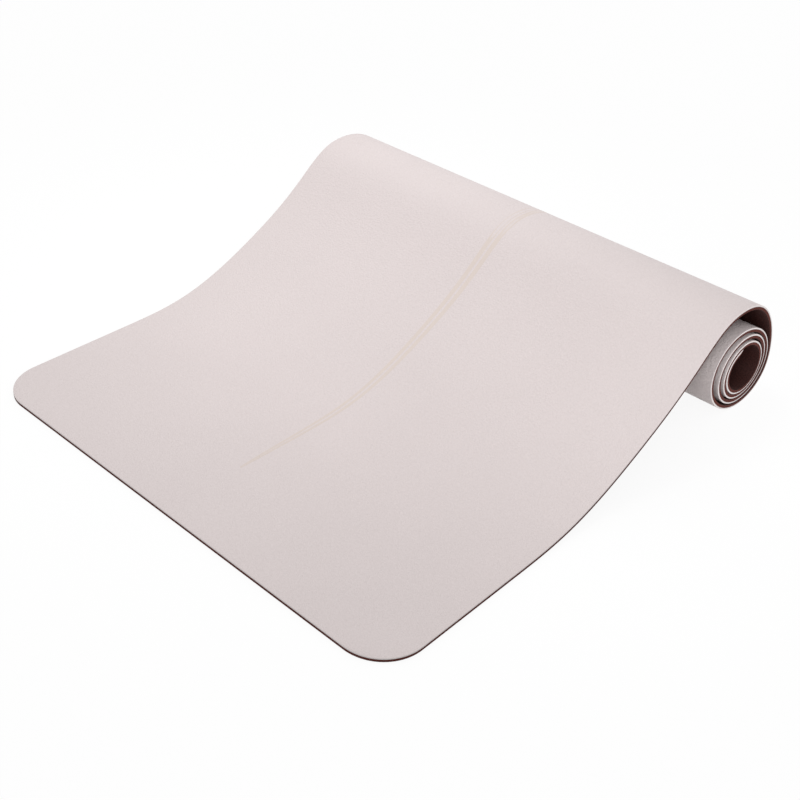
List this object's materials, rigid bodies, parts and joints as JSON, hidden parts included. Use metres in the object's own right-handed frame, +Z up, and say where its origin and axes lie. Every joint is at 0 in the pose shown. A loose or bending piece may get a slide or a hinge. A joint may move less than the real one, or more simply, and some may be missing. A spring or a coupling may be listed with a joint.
{
  "type": "yoga mat",
  "caption": "Two-layer exercise mat with rounded corners, its front end laid flat and the rest wound into a loose oval roll.",
  "frame": {"origin": "centre of the bounding box in plan, on the floor that the mat lies on", "axes": "+X along the mat's length, from the flat front edge to the roll; +Y across its width; +Z up"},
  "size_m": [0.6517, 0.6, 0.1449],
  "materials": {
    "top_surface": "fine-grained matt",
    "base_rubber": "matt"
  },
  "bodies": {
    "root": {"top_layer": "top_surface", "base_layer": "base_rubber"}
  },
  "joints": []
}
